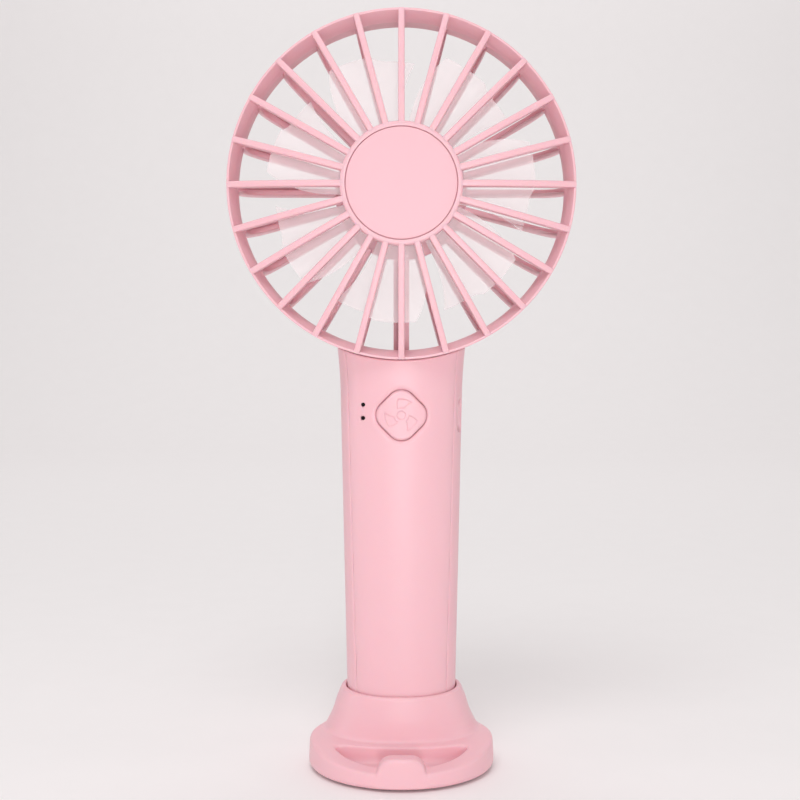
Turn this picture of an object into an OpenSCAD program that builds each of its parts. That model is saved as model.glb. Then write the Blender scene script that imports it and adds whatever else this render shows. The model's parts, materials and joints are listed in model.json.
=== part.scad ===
// Handheld electric fan standing in its dock. Millimetres, +Z up, front towards -Y.
// The origin is the bottom centre of the round dock.

/* [Head] */
// Outer diameter of the fan head
head_d = 100; // [96:1:104]
// Height of the head's centre above the table
head_z = 169.6; // [168:0.1:172]
// Depth of the head from the front lip to the back
head_depth = 28; // [28:0.5:32]
// How far the front lip stands in front of the dock's centre
lip_forward = 8; // [7:0.5:9]
// Number of fins in each grille
fin_count = 24; // [18:1:28]
// Width of one fin
fin_w = 1.8; // [1.4:0.1:2]
// Diameter of the front hub
hub_d = 35; // [33:1:38]
// How far the front hub stands in front of the lip
hub_rise = 4; // [3:0.5:5]

/* [Impeller] */
// Number of blades
blade_count = 7; // [5:1:9]
// Diameter over the blade tips
impeller_d = 79; // [72:1:84]
// Blade thickness
blade_t = 1; // [0.8:0.1:1.2]

/* [Handle] */
// Half width of the handle at table height
handle_a0 = 15.84; // [15.5:0.1:16.2]
// Growth of the half width for each millimetre of height
handle_taper = 0.0214; // [0.018:0.001:0.024]
// Half depth divided by half width
handle_ratio = 0.86; // [0.84:0.01:0.88]
// Wall of the handle shells
wall = 1.8; // [1.6:0.1:2]
// How far the handle's axis lies behind the dock's centre
handle_y = 10; // [9.5:0.5:10]
// How far the shell seam lies in front of the handle's axis
seam_forward = 9; // [8.5:0.5:9]
// Height of the power button's centre
button_z = 103.5; // [103:0.1:104.5]
// Power button across its corners
button_w = 14.1; // [13.8:0.1:15]
// How far the button travels
button_travel = 0.5; // [0.3:0.1:0.6]

/* [Dock] */
// Diameter of the dock
dock_d = 54.4; // [54:0.2:56]
// Height of the slope on the dock's top, at the dock's centre
dock_top = 9.4; // [9:0.1:9.8]
// Slope of the dock's top, in degrees
dock_slope = 9.6; // [9:0.1:10]
// Height of the socket collar
collar_top = 21.6; // [20.6:0.5:23.1]

/* [Hidden] */
$fn = 96;
head_r = head_d / 2;
hub_r = hub_d / 2;
dock_r = dock_d / 2;
lip_y = -lip_forward;
seam_y = handle_y - seam_forward;
handle_z0 = 4.5;             // underside of the handle, on the socket pad
handle_z1 = head_z - 35.5;   // the handle's blank ends inside the head ring
cap_h = 2.5;                 // visible height of the end cap
socket_gap = 0.35;           // around the handle in its socket
flare_z = 109.8;             // the handle starts to flare out here
dock_flat = 9;               // height of the flat back of the dock's top
ring_in = head_r - 2.7;      // clear radius of the front rim
ring_wall = 1.6;             // wall of the head's ring
rim_depth = 7;               // depth of the front rim, where it meets the ring
front_fin_depth = 4;         // depth of a front fin
fin_proud = 0.3;             // how far a front fin stands in front of the lip
fin_end = head_r - 0.1;      // outer end of a front fin
ring_solid_z = 18.5;         // the ring is closed as far back as this
rear_fin_z = 20.6;           // front faces of the rear fins, behind the lip
rear_disc_r = 20;            // rear hub
rear_disc_z = 23.4;          // front face of the rear hub, behind the lip
motor_screw_r = 9;           // circle of the three motor screws
cup_r = 14;                  // outside of the rotor cup
bearing_r = 2.95;
shaft_r = 1.5;
cell_r = 9.15;
cell_z0 = 19;
cell_h = 65;
board_y = 2;                 // front face of the main board
board_t = 1.2;
board_z = 89.3;              // lower edge of the main board
usb_z = 103;
usb_mouth = 16.2;            // how far the socket reaches towards the handle's side
usb_y = board_y + board_t + 1.65;
led_x = -11.1;
led_z = [106.5, 102.6];
screw_z = [14.5, 114.6];     // heights of the screws that close the handle
stop_w = 13.5;               // width of the raised stop at the dock's front
stop_z = 8.8;
stop_corner = 3;
dock_wall = 1.8;
recess_r = 22.7;             // front edge of the crescent recess
recess_y = -10.2;            // its back edge
recess_z = 2;                // its floor
dock_screw = [21.4, 1.5];
neck_z0 = 112.6;             // lower end of the neck inside the handle
oval_power = 2.3;

// ---- shapes shared by several pieces ----

// Points of an oval that is a little squarer than an ellipse
function oval(a, b, seg = 64) = [
    for (i = [0 : seg - 1])
        let (t = 360 * i / seg, c = cos(t), s = sin(t))
            [a * sign(c) * pow(abs(c), 2 / oval_power), b * sign(s) * pow(abs(s), 2 / oval_power)]
];

// Two triangles for each cell of a closed band between rings i and i + 1
function band(rings, seg) = [
    for (i = [0 : rings - 2], j = [0 : seg - 1])
        let (k = (j + 1) % seg, p = i * seg, q = (i + 1) * seg)
            each [[p + j, q + j, q + k], [p + j, q + k, p + k]]
];

// A solid through stacked ovals, each given as [height, half width, half depth]
module loft(levels, seg = 64) {
    n = len(levels);
    points = [for (l = levels) each [for (p = oval(l[1], l[2], seg)) [p[0], p[1], l[0]]]];
    polyhedron(points, concat(
        [[for (j = [0 : seg - 1]) j]],
        [[for (j = [seg - 1 : -1 : 0]) (n - 1) * seg + j]],
        band(n, seg)));
}

function handle_a(z) = handle_a0 + handle_taper * z + 0.0035 * pow(max(0, z - flare_z), 2);
handle_levels = [handle_z0, 60, flare_z, flare_z + 6, flare_z + 12, flare_z + 18, handle_z1];

// The handle's outside, grown (or shrunk when negative) by a skin
module handle_form(grow = 0, levels = handle_levels) {
    translate([0, handle_y, 0])
        loft([for (z = levels) [z, handle_a(z) + grow, handle_a(z) * handle_ratio + grow]]);
}

// Sweeps a round lead along a route that lies in one plane of constant X
module lead(route, r = 0.5, sides = 8) {
    n = len(route);
    rings = [
        for (i = [0 : n - 1])
            let (
                d = route[min(i + 1, n - 1)] - route[max(i - 1, 0)],
                t = d / norm(d),
                u = cross(t, [1, 0, 0])
            )
            each [for (j = [0 : sides - 1]) let (a = 360 * j / sides)
                route[i] + r * (cos(a) * u + sin(a) * [1, 0, 0])]
    ];
    polyhedron(rings, concat(
        [[for (j = [0 : sides - 1]) j]],
        [[for (j = [sides - 1 : -1 : 0]) (n - 1) * sides + j]],
        band(n, sides)));
}

// Places a child in the head: local +Z runs backwards from the lip, local +Y points down
module in_head() {
    translate([0, lip_y, head_z]) rotate([-90, 0, 0]) children();
}

// A tube from height z0 to z1
module tube(r_out, r_in, z0, z1) {
    difference() {
        translate([0, 0, z0]) cylinder(r = r_out, h = z1 - z0);
        translate([0, 0, z0 - 1]) cylinder(r = r_in, h = z1 - z0 + 2);
    }
}

module disc(r, z0, z1) {
    translate([0, 0, z0]) cylinder(r = r, h = z1 - z0);
}

// A screw with its head at the origin and its shank along +Z
module screw(head_r, head_h, shank_r, shank_h) {
    difference() {
        cylinder(r = head_r, h = head_h, $fn = 32);
        for (turn = [0, 90]) rotate([0, 0, turn])
            translate([-head_r * 0.55, -0.2, -1]) cube([head_r * 1.1, 0.4, 1 + head_h * 0.5]);
    }
    translate([0, 0, head_h - 0.01]) cylinder(r = shank_r, h = shank_h, $fn = 24);
}

// A square standing on its corner, with round corners, measured across the corners
module diamond(across, corner) {
    side = (across - 2 * corner) / sqrt(2) + 2 * corner;
    flat = side - 2 * corner;
    rotate([0, 0, 45]) {
        square([side, flat], center = true);
        square([flat, side], center = true);
        for (x = [-1, 1], y = [-1, 1])
            translate([x * flat / 2, y * flat / 2]) circle(r = corner);
    }
}

module button_column(grow = 0) {
    translate([0, handle_y, button_z]) rotate([90, 0, 0])
        linear_extrude(40) diamond(button_w + 2 * grow, 4.3 + grow);
}

// ---- dock ----

collar_levels = [
    [3, 23.4, 17], [9.6, 23.4, 17], [10.4, 22.6, 16.9], [12.2, 21.4, 16.8], [14, 20.6, 16.6],
    [17.6, 19.5, 16.2], [19.6, 18.7, 16], [collar_top, 17.8, 15.7]
];

// Everything under the dock's top, flat at the back and sloped in front, moved by a shift
module under_slope(shift = 0) {
    intersection() {
        translate([0, 0, dock_top + shift]) rotate([dock_slope, 0, 0])
            translate([-40, -40, -40]) cube([80, 80, 40]);
        translate([-45, -45, -30]) cube([90, 90, 30 + dock_flat + shift]);
    }
}

module dock_disc() {
    rotate_extrude()
        polygon([[0, 0.6], [dock_r - 1.6, 0.6], [dock_r - 0.5, 1.2], [dock_r, 2.6],
                 [dock_r - 0.45, 9], [dock_r - 0.8, 15], [0, 15]]);
}

module socket_form(grow, z0, z1) {
    translate([0, handle_y, 0])
        loft([for (z = [z0, z1])
            [z, handle_a(z) + grow, handle_a(z) * handle_ratio + grow]]);
}

module dock_shell() {
    color("pink") difference() {
        union() {
            intersection() {
                dock_disc();
                under_slope();
            }
            intersection() {
                translate([0, handle_y, 0]) loft(collar_levels);
                disc(dock_r - 0.9, 1, 40);
            }
            // raised stop at the front edge
            intersection() {
                disc(dock_r, 1.2, 20);
                translate([0, -recess_r + 1, 0]) rotate([90, 0, 0]) linear_extrude(10) {
                    translate([-stop_w / 2, 0]) square([stop_w, stop_z - stop_corner]);
                    translate([-stop_w / 2 + stop_corner, 0])
                        square([stop_w - 2 * stop_corner, stop_z]);
                    for (side = [-1, 1])
                        translate([side * (stop_w / 2 - stop_corner), stop_z - stop_corner])
                            circle(r = stop_corner);
                }
            }
        }
        // crescent recess
        intersection() {
            disc(recess_r, recess_z, 20);
            translate([-30, recess_y - 30, 0]) cube([60, 30, 30]);
        }
        // socket
        socket_form(socket_gap, handle_z0 - 0.5, 30);
        // hollow underneath, around the socket's wall and the two screw bosses
        difference() {
            intersection() {
                disc(dock_r - dock_wall, 0, 20);
                under_slope(-dock_wall);
                translate([-30, recess_y + 1.4, 0]) cube([60, 60, 30]);
            }
            socket_form(socket_gap + 1.4, 2.6, 25);
            for (side = [-1, 1])
                translate([side * dock_screw[0], dock_screw[1], 2]) cylinder(r = 2.1, h = 10);
        }
        for (side = [-1, 1])
            translate([side * dock_screw[0], dock_screw[1], 0]) cylinder(r = 0.85, h = 6.5, $fn = 24);
        foot_groove();
    }
}

module foot_groove() {
    tube(23.3, 19.9, -1, 1);
}

module dock_bottom_plate() {
    color("pink") difference() {
        intersection() {
            disc(dock_r - dock_wall - 0.2, 0.6, 1.9);
            translate([-30, recess_y + 1.6, 0]) cube([60, 60, 30]);
        }
        foot_groove();
        for (side = [-1, 1]) translate([side * dock_screw[0], dock_screw[1], 0]) {
            cylinder(r = 1.1, h = 4, $fn = 24);
            cylinder(r = 1.85, h = 0.96, $fn = 32);
        }
    }
}

module dock_foot() {
    color("dimgray") difference() {
        tube(23.2, 20, 0, 1);
        for (side = [-1, 1]) translate([side * dock_screw[0], dock_screw[1], -1]) cylinder(r = 2, h = 4);
    }
}

module dock_weight() {
    color("silver") difference() {
        intersection() {
            disc(dock_r - dock_wall - 0.4, 2.1, 5.35);
            translate([-30, recess_y + 3, 0]) cube([60, 25, 30]);
        }
        socket_form(socket_gap + 1.7, 1, 25);
        for (side = [-1, 1])
            translate([side * dock_screw[0], dock_screw[1], 0]) cylinder(r = 2.4, h = 20);
        translate([-6, -30, 0]) cube([12, 60, 30]);
    }
}

module dock_screws() {
    color("silver") for (side = [-1, 1])
        translate([side * dock_screw[0], dock_screw[1], 0.3]) screw(1.7, 0.65, 0.8, 5);
}

module socket_pad() {
    color("dimgray") translate([0, handle_y, 0])
        loft([[handle_z0 - 0.5, 14, 12], [handle_z0, 14, 12]]);
}

// ---- handle ----

// [x, y of the screw head's outer face, height] of the screws that close the handle
shell_screw = [[0, 21.6, screw_z[0]], [-8, 22.6, screw_z[1]], [8, 22.6, screw_z[1]]];
board_screw = [[-9.5, board_z + 2.5], [9.5, board_z + 2.5]];

// Everything below the sloped shoulder behind the head
module below_shoulder(shift = 0) {
    translate([0, lip_y + head_depth, head_z - head_r + 1.7 + shift]) rotate([-50, 0, 0])
        translate([-40, -200, -300]) cube([80, 400, 300]);
}

module along_y(x, y0, y1, z, r) {
    translate([x, y0, z]) rotate([-90, 0, 0]) cylinder(r = r, h = y1 - y0, $fn = 40);
}

module handle_wall() {
    difference() {
        intersection() {
            handle_form();
            below_shoulder();
        }
        intersection() {
            handle_form(-wall, concat([3], handle_levels));
            below_shoulder(-wall * 1.6);
        }
        translate([-30, -30, 0]) cube([60, 80, handle_z0 + cap_h + 0.05]);
        in_head() disc(head_r + 0.15, -10, head_depth + 0.1);
    }
}

module handle_front_shell() {
    color("pink") difference() {
        union() {
            intersection() {
                handle_wall();
                translate([-30, -40, 0]) cube([60, 40 + seam_y - 0.05, 150]);
            }
            intersection() {
                handle_form(-wall + 0.6);
                union() {
                    for (s = shell_screw) along_y(s[0], -20, handle_y, s[2], 2.4);
                    for (s = board_screw) along_y(s[0], -20, board_y, s[1], 2);
                }
            }
        }
        for (s = shell_screw) along_y(s[0], 2, handle_y + 1, s[2], 0.98);
        for (s = board_screw) along_y(s[0], -2, board_y + 1, s[1], 0.72);
        button_column(0.35);
        for (z = led_z) along_y(led_x, -20, 0, z, 0.65);
    }
}

module port_form(long, short, x0, x1) {
    translate([x0, usb_y, usb_z]) rotate([0, 90, 0]) linear_extrude(x1 - x0) {
        square([long - short, short], center = true);
        for (side = [-1, 1]) translate([side * (long - short) / 2, 0]) circle(r = short / 2);
    }
}

module handle_rear_shell() {
    color("pink") difference() {
        union() {
            intersection() {
                handle_wall();
                translate([-30, seam_y + 0.05, 0]) cube([60, 40, 150]);
            }
            intersection() {
                handle_form(-wall + 0.6);
                for (s = shell_screw) along_y(s[0], handle_y + 0.1, 40, s[2], 3.2);
            }
        }
        for (s = shell_screw) {
            along_y(s[0], handle_y - 1, 40, s[2], 1.2);
            along_y(s[0], s[1] - 1.45, 40, s[2], 2.2);
        }
        port_form(9.9, 4.2, 12, 22);
    }
}

module handle_end_cap() {
    color("pink") {
        handle_form(0, [handle_z0, handle_z0 + cap_h]);
        difference() {
            handle_form(-wall - 0.1, [handle_z0 + cap_h - 0.5, handle_z0 + cap_h + 4]);
            handle_form(-wall - 1.6, [handle_z0 + cap_h, handle_z0 + cap_h + 5]);
        }
    }
}

module shell_screws() {
    color("silver") for (s = shell_screw)
        translate([s[0], s[1], s[2]]) rotate([90, 0, 0]) screw(2, 1.4, 0.95, 16);
}

module button_cap() {
    color("pink") {
        intersection() {
            button_column();
            difference() {
                handle_form(0.35);
                handle_form(-wall - 1);
            }
        }
        intersection() {
            button_column(1);
            difference() {
                handle_form(-wall - 0.15);
                handle_form(-wall - 1);
            }
        }
    }
}

module switch_plunger() {
    color("white") along_y(0, handle_y - handle_a(button_z) * handle_ratio + wall + 1.05,
        -0.7, button_z, 1.6);
}

module switch_body() {
    color("dimgray") difference() {
        translate([-3, -1.9, button_z - 3]) cube([6, board_y + 1.9, 6]);
        along_y(0, -5, 0.3, button_z, 1.75);
    }
}

// ---- battery and electronics ----

module battery_cell() {
    color("steelblue") translate([0, handle_y, cell_z0]) cylinder(r = cell_r, h = cell_h);
}

module cell_tabs() {
    color("silver") for (z = [cell_z0 - 0.2, cell_z0 + cell_h])
        translate([-3, handle_y - 4, z]) cube([8, 7, 0.2]);
}

module battery_pads() {
    color("dimgray") for (z = [32, 62]) {
        translate([-5, handle_y - cell_r - 2.5, z]) cube([7, 2.45, 10]);
        translate([-5, handle_y + cell_r + 0.05, z]) cube([10, 2.5, 10]);
    }
}

module main_board() {
    color("seagreen") difference() {
        translate([-12.5, board_y, board_z]) cube([25, board_t, 19]);
        for (s = board_screw) along_y(s[0], 0, 9, s[1], 0.8);
    }
}

module usb_socket() {
    color("silver") difference() {
        port_form(8.94, 3.26, 9.6, usb_mouth);
        port_form(8.34, 2.66, 10.4, 18);
    }
    color("black") translate([10.3, usb_y - 0.35, usb_z - 3.3])
        cube([usb_mouth - 11.2, 0.7, 6.6]);
}

module indicator_leds() {
    color("ivory") for (z = led_z) translate([led_x - 0.8, board_y - 0.7, z - 0.4]) cube([1.6, 0.7, 0.8]);
}

module light_pipes() {
    color("white") for (z = led_z) along_y(led_x, -2.75, board_y - 0.75, z, 0.6);
}

module power_inductor() {
    color("dimgray") along_y(-8, board_y + board_t, board_y + board_t + 3, board_z + 10.5, 2.6);
}

module board_chips() {
    // [left, height above the board's edge, width, height, thickness] of each chip
    chips = [[4, 4.5, 4, 5, 1.4], [-7, 5.5, 3, 3, 0.9], [-3, 6, 2.5, 2, 0.8], [6, 11.5, 2, 1.2, 0.6]];
    color("black") for (c = chips)
        translate([c[0], board_y - c[4], board_z + c[1]]) cube([c[2], c[4], c[3]]);
}

module battery_connector() {
    color("ivory") translate([1, board_y + board_t, board_z + 1.5]) cube([4, 3, 4]);
}

module motor_connector() {
    color("ivory") translate([-3, board_y + board_t, board_z + 9.5]) cube([6, 3.4, 5]);
}

module board_screws() {
    color("silver") for (s = board_screw)
        translate([s[0], board_y + board_t + 0.9, s[1]]) rotate([90, 0, 0]) screw(1.5, 0.9, 0.7, 4);
}

battery_route_top = [[2, 8.4, 85], [2, 7.2, 85.6], [2, 5.6, 86.4], [2, 4.8, 88], [2, 4.7, 90.75]];
battery_route_side = [
    [4, 9, 18], [4, 6, 17.8], [4, 3.4, 17.6], [4, 1.4, 17.8], [4, 0.7, 19], [4, 0.7, 22], [4, 0.7, 40],
    [4, 0.7, 60], [4, 0.7, 80], [4, 0.7, 83.8], [4, 1.3, 85.4], [4, 3.2, 86.4], [4, 4.5, 88],
    [4, 4.7, 90.75]
];

module battery_leads() {
    color("firebrick") lead(battery_route_top);
    color("black") lead(battery_route_side);
}

motor_route = [
    [12.5, 159.5], [13, 158.1], [13.1, 156.3], [14, 154.3], [14.8, 152.3], [14.8, 141], [14.8, 127.8],
    [14.8, 119.8], [14, 115.8], [12, 111.8], [9, 108.4], [6.4, 106.4], [5, 105], [4.9, 103.85]
];

module motor_leads() {
    for (k = [-1 : 1])
        color(["firebrick", "gold", "black"][k + 1])
            lead([for (p = motor_route) [k * 0.9, p[0], p[1]]], 0.38);
}

// ---- head ----

// Height of the front fins' leading edge at a radius, behind the lip
function fin_front(r) = -hub_rise + (hub_rise - fin_proud) * pow((r - hub_r) / (fin_end - hub_r), 2);
fin_radii = [for (k = [0 : 6]) hub_r - 0.6 + k * (fin_end - hub_r + 0.6) / 6];

// Stands a fin's outline, drawn as [radius, depth], at every fin position
module fins(outline) {
    for (k = [0 : fin_count - 1]) rotate([0, 0, 360 * k / fin_count])
        rotate([90, 0, 0]) translate([0, 0, -fin_w / 2]) linear_extrude(fin_w) polygon(outline);
}

module front_grille() {
    color("pink") in_head() {
        rotate_extrude() polygon([
            [head_r - 0.8, 0], [head_r - 0.25, 0.1], [head_r, 0.5], [head_r, rim_depth],
            [head_r - 1.7, rim_depth], [head_r - 1.7, rim_depth + 2], [head_r - 2.4, rim_depth + 2],
            [ring_in, rim_depth], [ring_in + 0.5, rim_depth - 2.5]
        ]);
        rotate_extrude() polygon([
            [0, -2.6], [hub_r - 1.5, -2.6], [hub_r - 1.5, -hub_rise], [hub_r - 0.6, -hub_rise],
            [hub_r, -hub_rise + 0.6], [hub_r, 1.5], [hub_r - 1.1, 1.5], [hub_r - 1.1, -1.2], [0, -1.2]
        ]);
        fins(concat(
            [for (r = fin_radii) [r, fin_front(max(r, hub_r))]],
            [for (k = [6 : -1 : 0])
                [fin_radii[k], fin_front(max(fin_radii[k], hub_r)) + front_fin_depth]]));
    }
}

module hub_badge() {
    color("lightpink") in_head() rotate_extrude() polygon([
        [0, -hub_rise - 0.3], [hub_r - 9.5, -hub_rise - 0.25], [hub_r - 4.5, -hub_rise - 0.1],
        [hub_r - 2.1, -hub_rise + 0.1], [hub_r - 1.7, -hub_rise + 0.4], [hub_r - 1.7, -2.6], [0, -2.6]
    ]);
}

rear_fin_outline = [
    [rear_disc_r - 1, rear_fin_z], [head_r - 8, rear_fin_z], [head_r - 6, rear_fin_z - 0.4],
    [head_r - 4, rear_fin_z - 2], [head_r - 3, rear_fin_z - 4.6], [head_r - 2.8, 10.5],
    [head_r - 0.9, 10.5], [head_r - 0.2, 15], [head_r - 0.2, head_depth - 8],
    [head_r - 0.7, head_depth - 5], [head_r - 2.3, head_depth - 2.3], [head_r - 5, head_depth - 0.6],
    [head_r - 8, head_depth], [rear_disc_r - 1, head_depth]
];

module neck() {
    difference() {
        intersection() {
            handle_form(-wall - 0.1);
            below_shoulder(-3.2);
        }
        handle_form(-wall - 1.6, concat(handle_levels, [handle_z1 + 2]));
        translate([-30, -30, 0]) cube([60, 80, neck_z0]);
        in_head() disc(head_r + 0.15, -10, rim_depth + 0.1);
        in_head() disc(head_r - 0.8, 0, 60);
        for (s = shell_screw) {
            along_y(s[0], -20, handle_y, s[2], 2.7);
            along_y(s[0], handle_y - 0.1, 40, s[2], 3.5);
        }
    }
}

module head_shell() {
    color("pink") difference() {
        union() {
            in_head() {
                difference() {
                    tube(head_r, head_r - ring_wall, rim_depth + 0.05, head_depth - 2.3);
                    difference() {
                        disc(head_r + 2, ring_solid_z, 40);
                        translate([-22, 0, 0]) cube([44, 80, 41]);
                    }
                }
                fins(rear_fin_outline);
                rotate_extrude() polygon([
                    [0, rear_disc_z], [rear_disc_r, rear_disc_z], [rear_disc_r, head_depth - 0.05],
                    [rear_disc_r - 1.4, head_depth - 0.05], [rear_disc_r - 1.4, rear_disc_z + 1.6],
                    [0, rear_disc_z + 1.6]
                ]);
                // wire channel at six o'clock
                translate([-2.35, rear_disc_r - 4, rear_fin_z]) cube([4.7, head_r - rear_disc_r + 2.8, 5]);
            }
            neck();
        }
        in_head() {
            translate([-1.5, 10, 21.6]) cube([3, 45, 2.4]);
            at_motor_screws() translate([0, 0, 15]) cylinder(r = 0.95, h = 20, $fn = 24);
        }
    }
}

module rear_hub_cap() {
    color("pink") in_head() rotate_extrude() polygon([
        [0, 26.4], [rear_disc_r - 1.5, 26.4], [rear_disc_r - 1.5, head_depth - 0.5],
        [rear_disc_r - 2, head_depth - 0.1], [0, head_depth]
    ]);
}

// ---- motor ----

module at_motor_screws() {
    for (k = [0 : 2]) rotate([0, 0, 30 + 120 * k]) translate([motor_screw_r, 0, 0])
        children();
}

module motor_base() {
    color("dimgray") in_head() difference() {
        union() {
            disc(13, 21.9, rear_disc_z);
            tube(4.2, bearing_r, 7.5, 22);
            at_motor_screws() disc(1.6, 19.9, 22);
        }
        disc(2.6, 5, 30);
        disc(bearing_r, 7, 21.9);
        at_motor_screws() disc(0.78, 19, 30);
    }
}

module bearing(z) {
    color("silver") in_head() tube(bearing_r, shaft_r + 0.03, z, z + 2.5);
}

module front_bearing() { bearing(7.6); }
module rear_bearing() { bearing(18.9); }

module stator_core() {
    color("gray") in_head() translate([0, 0, 9]) linear_extrude(7) {
        difference() {
            circle(r = 6.2);
            circle(r = 4.2);
        }
        for (k = [0 : 8]) rotate([0, 0, 40 * k]) {
            translate([5.8, -0.8]) square([5, 1.6]);
            intersection() {
                difference() {
                    circle(r = 11.4);
                    circle(r = 10.4);
                }
                translate([9, -3]) square([4, 6]);
            }
        }
    }
}

module stator_coils() {
    color("peru") in_head() for (k = [0 : 8]) rotate([0, 0, 40 * k]) difference() {
        translate([6.8, -1.75, 8]) cube([3.3, 3.5, 9]);
        translate([6, -0.85, 8.95]) cube([6, 1.7, 7.1]);
    }
}

module motor_board() {
    color("seagreen") in_head() tube(11.5, 4.4, 18.8, 19.9);
}

module motor_screws() {
    color("silver") in_head() at_motor_screws()
        translate([0, 0, rear_disc_z + 2.55]) rotate([180, 0, 0]) screw(1.7, 0.95, 0.74, 4);
}

module motor_shaft() {
    color("silver") in_head() disc(shaft_r, 4.8, 22.8);
}

module shaft_clip() {
    color("dimgray") in_head() tube(2.3, shaft_r, 21.5, 21.8);
}

module rotor_cup() {
    color("silver") in_head() {
        tube(cup_r, cup_r - 0.8, 5.65, 18.5);
        tube(cup_r - 0.7, shaft_r, 5.65, 6.4);
    }
}

module magnet_ring() {
    color("dimgray") in_head() tube(cup_r - 0.82, cup_r - 2.1, 8, 17.4);
}

// ---- impeller ----

blade_r0 = 14.8;
blade_z0 = 6.8;
blade_depth = 11.5;
blade_steps = 6;
blade_cuts = 5;

// A point on a blade: u runs out from the hub, v runs along the chord
function blade_point(u, v, side) =
    let (
        r = blade_r0 + u * (impeller_d / 2 - blade_r0),
        a = (v - 0.5) * (46 - 8 * u) + 10 * u * u
    )
    [r * cos(a), r * sin(a), blade_z0 + v * blade_depth * (1 - 0.12 * u) + side * blade_t / 2];

module blade() {
    rows = blade_steps + 1;
    cols = 2 * (blade_cuts + 1);
    points = [
        for (i = [0 : blade_steps]) each concat(
            [for (j = [0 : blade_cuts]) blade_point(i / blade_steps, j / blade_cuts, -1)],
            [for (j = [blade_cuts : -1 : 0]) blade_point(i / blade_steps, j / blade_cuts, 1)])
    ];
    polyhedron(points, concat(
        [for (j = [0 : blade_cuts - 1]) each [[j, j + 1, cols - 2 - j], [j, cols - 2 - j, cols - 1 - j]]],
        [for (j = [0 : blade_cuts - 1])
            let (b = (rows - 1) * cols)
            each [[b + j + 1, b + j, b + cols - 2 - j], [b + j, b + cols - 1 - j, b + cols - 2 - j]]],
        band(rows, cols)));
}

module impeller() {
    color("white") in_head() {
        difference() {
            union() {
                disc(cup_r + 1.5, 4.2, 19.6);
                for (k = [0 : blade_count - 1]) rotate([0, 0, 360 * k / blade_count]) blade();
            }
            disc(cup_r + 0.05, 5.6, 30);
            disc(shaft_r, 4.7, 30);
        }
    }
}

dock_shell();
dock_bottom_plate();
dock_weight();
dock_foot();
dock_screws();
socket_pad();
handle_front_shell();
handle_rear_shell();
handle_end_cap();
head_shell();
front_grille();
hub_badge();
rear_hub_cap();
motor_base();
stator_core();
stator_coils();
motor_board();
front_bearing();
rear_bearing();
motor_screws();
battery_cell();
cell_tabs();
battery_pads();
main_board();
usb_socket();
switch_body();
indicator_leds();
light_pipes();
power_inductor();
board_chips();
battery_connector();
motor_connector();
battery_leads();
motor_leads();
board_screws();
shell_screws();
impeller();
rotor_cup();
magnet_ring();
motor_shaft();
shaft_clip();
button_cap();
switch_plunger();
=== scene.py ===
import json
import math
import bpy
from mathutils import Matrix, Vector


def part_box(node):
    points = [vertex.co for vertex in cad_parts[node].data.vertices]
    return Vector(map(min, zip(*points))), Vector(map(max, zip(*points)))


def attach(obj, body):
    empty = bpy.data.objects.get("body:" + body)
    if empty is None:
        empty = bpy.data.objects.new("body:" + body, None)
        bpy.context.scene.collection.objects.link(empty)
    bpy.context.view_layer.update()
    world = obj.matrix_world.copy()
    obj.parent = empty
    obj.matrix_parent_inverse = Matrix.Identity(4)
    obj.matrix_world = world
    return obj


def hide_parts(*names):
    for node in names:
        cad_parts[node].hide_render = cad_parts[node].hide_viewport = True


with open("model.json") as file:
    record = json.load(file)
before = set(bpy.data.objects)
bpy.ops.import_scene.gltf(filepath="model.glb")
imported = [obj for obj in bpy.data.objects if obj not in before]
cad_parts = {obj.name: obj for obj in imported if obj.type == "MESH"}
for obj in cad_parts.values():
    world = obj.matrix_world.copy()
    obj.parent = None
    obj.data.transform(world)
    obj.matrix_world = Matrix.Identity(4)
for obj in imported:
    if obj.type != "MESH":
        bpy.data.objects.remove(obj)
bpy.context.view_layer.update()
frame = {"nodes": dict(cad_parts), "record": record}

from types import SimpleNamespace

import bmesh
import bpy
import numpy as np
import openvdb
from bpy.props import FloatProperty, FloatVectorProperty, IntProperty
from mathutils import Matrix, Vector

bl_info = {
    "name": "Handheld Fan Looks",
    "version": (1, 0, 0),
    "blender": (4, 5, 0),
    "location": "3D View > Sidebar > Fan",
    "description": "Builds the moulded shells, guards, blades and finishes of a handheld fan in its dock",
    "category": "Object",
}

MM = 0.001


def box_mm(node):
    """A node's lowest and highest corners, in millimetres."""
    low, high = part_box(node)
    return np.array(low) / MM, np.array(high) / MM


GUARD_LOW, GUARD_HIGH = box_mm("front_grille")
DOCK_LOW, DOCK_HIGH = box_mm("dock_shell")
CAP_LOW, CAP_HIGH = box_mm("handle_end_cap")
PORT_LOW, PORT_HIGH = box_mm("usb_socket")
LED_LOW, LED_HIGH = box_mm("indicator_leds")
SWITCH_LOW, SWITCH_HIGH = box_mm("switch_body")
SCREWS_LOW, SCREWS_HIGH = box_mm("shell_screws")
NECK_FOOT = box_mm("head_shell")[0][2]
COVER_BACK = box_mm("rear_hub_cap")[1][1]
ROTOR_FRONT = box_mm("rotor_cup")[0][1]

# Sizes below are in millimetres. Depths in the head run backwards from the front guard's lip.
HUB_RISE = 4.0
HEAD_R = (GUARD_HIGH[0] - GUARD_LOW[0]) / 2
HEAD_Z = (GUARD_HIGH[2] + GUARD_LOW[2]) / 2
LIP_Y = GUARD_LOW[1] + HUB_RISE
HEAD_DEPTH = COVER_BACK - LIP_Y
RIM_DEPTH, RING_DEPTH = 7.0, 18.5
FRONT_FIN_DEPTH = 4.0
REAR_FIN_FRONT = 20.6
REAR_HUB_R, COVER_SEAT_R = 20.0, 18.6
BLADE_ROOT, BLADE_DEPTH, BLADE_THICKNESS = 14.9, 11.5, 1.0
BLADE_STEP, BLADE_STEP_AT = 1.6, 0.55

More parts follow.
